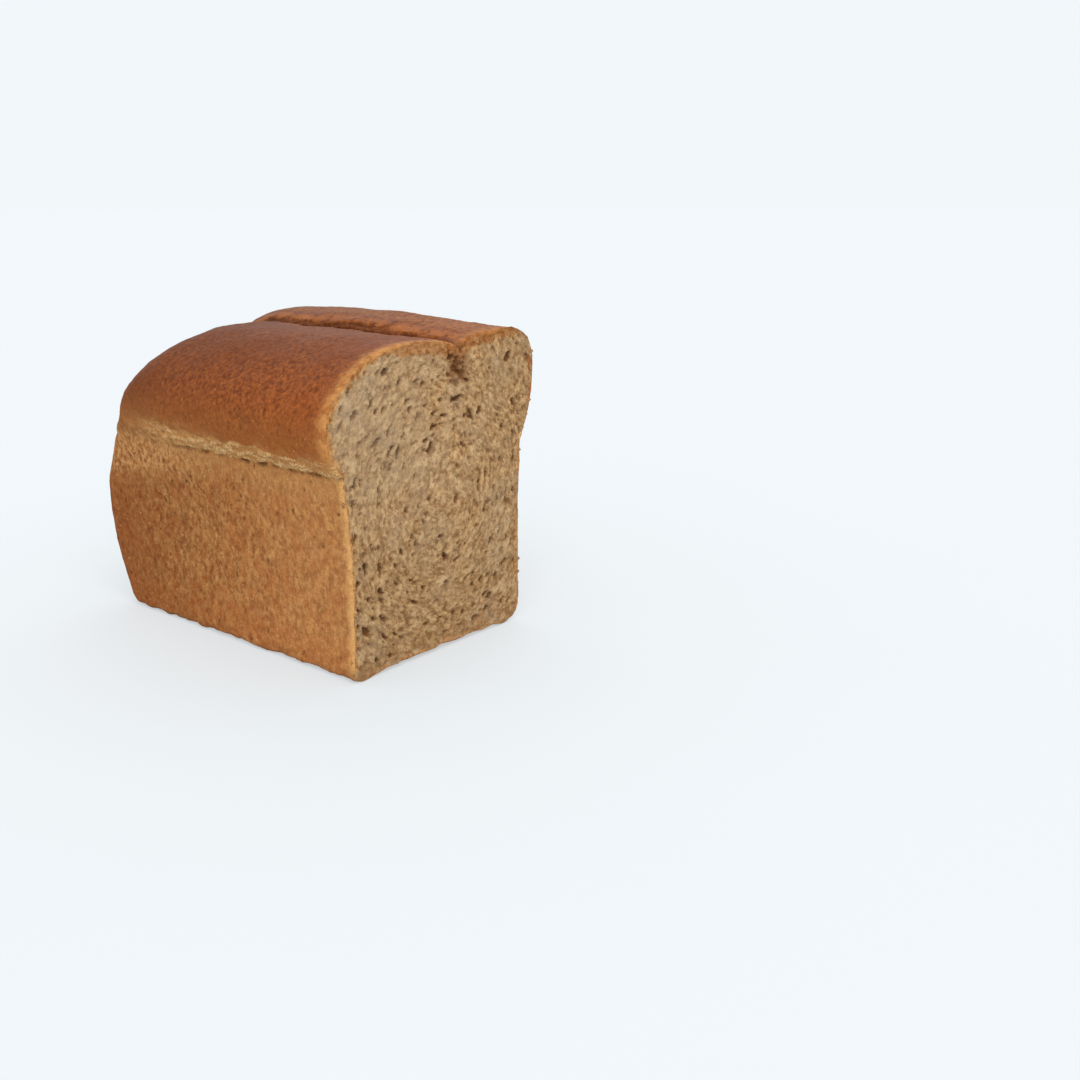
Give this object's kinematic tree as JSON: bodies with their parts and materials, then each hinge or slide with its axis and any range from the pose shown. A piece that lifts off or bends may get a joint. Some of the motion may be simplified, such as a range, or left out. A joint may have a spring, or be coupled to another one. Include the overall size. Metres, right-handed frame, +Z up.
{
  "type": "cut wholemeal tin loaf",
  "caption": "Most of a wholemeal tin loaf, cut square across: domed crust with a lengthwise crease, torn rim band, and open pored crumb at the cut.",
  "frame": {"origin": "on the ground under the middle of the loaf's box", "axes": "+X along the loaf, from the baked heel to the cut face; +Y across it, from the front side to the rear side; +Z up"},
  "size_m": [0.1714, 0.1208, 0.1369],
  "materials": {
    "crust": "matt baked crust with a faint satin sheen on the dome",
    "crumb": "matt, open and pored"
  },
  "bodies": {
    "root": {"loaf": "crust"}
  },
  "joints": []
}
